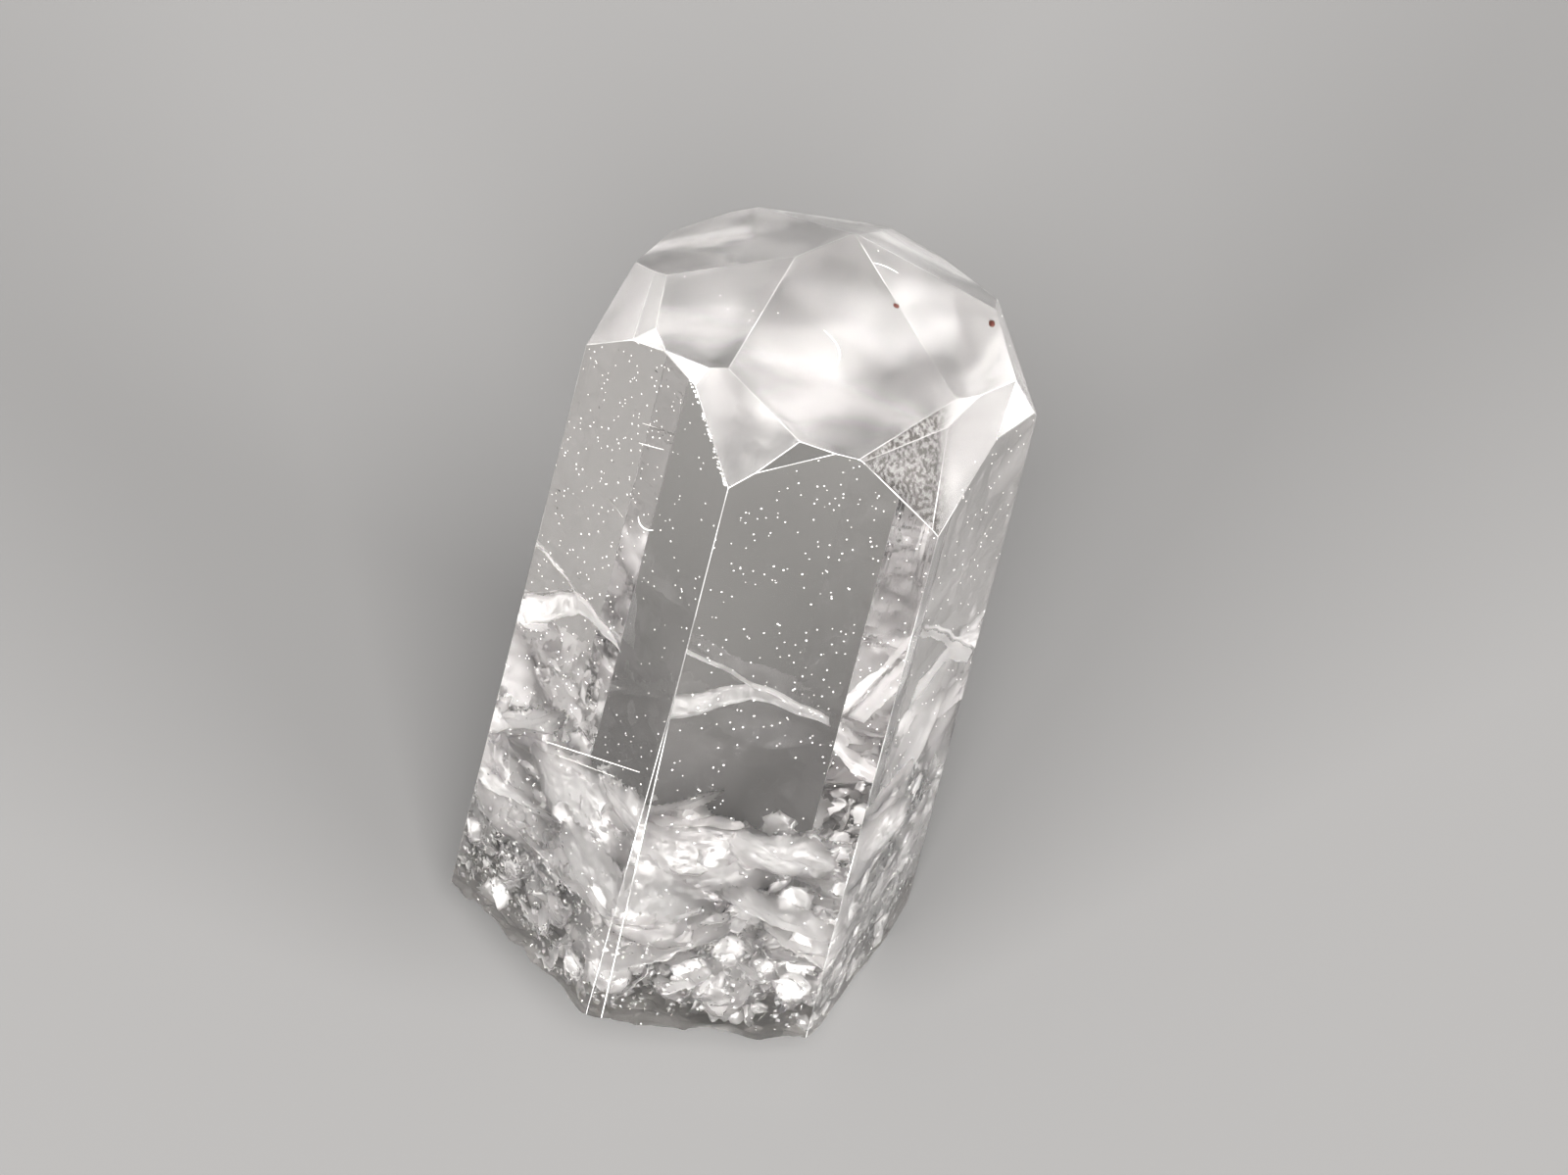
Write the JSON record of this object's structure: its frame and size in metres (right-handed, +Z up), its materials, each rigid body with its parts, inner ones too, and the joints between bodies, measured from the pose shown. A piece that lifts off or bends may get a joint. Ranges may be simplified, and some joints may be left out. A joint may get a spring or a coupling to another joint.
{
  "type": "phenakite crystal",
  "caption": "Clear six-sided prismatic crystal with a many-faced domed top and a broken lower end, standing with a lean on the flat part of the break.",
  "frame": {"origin": "centre of the bounding box, on the surface that the crystal stands on", "axes": "+Z up, the crystal's longest extent; the crystal leans 20 degrees towards +X and +Y, and the picture looks along +Y from above"},
  "size_m": [0.008, 0.0082, 0.0118],
  "materials": {
    "phenakite": "clear colourless crystal, glassy prism faces, slightly etched dome faces and a bright shattered lower end"
  },
  "bodies": {
    "root": {"phenakite_crystal": "phenakite"}
  },
  "joints": []
}
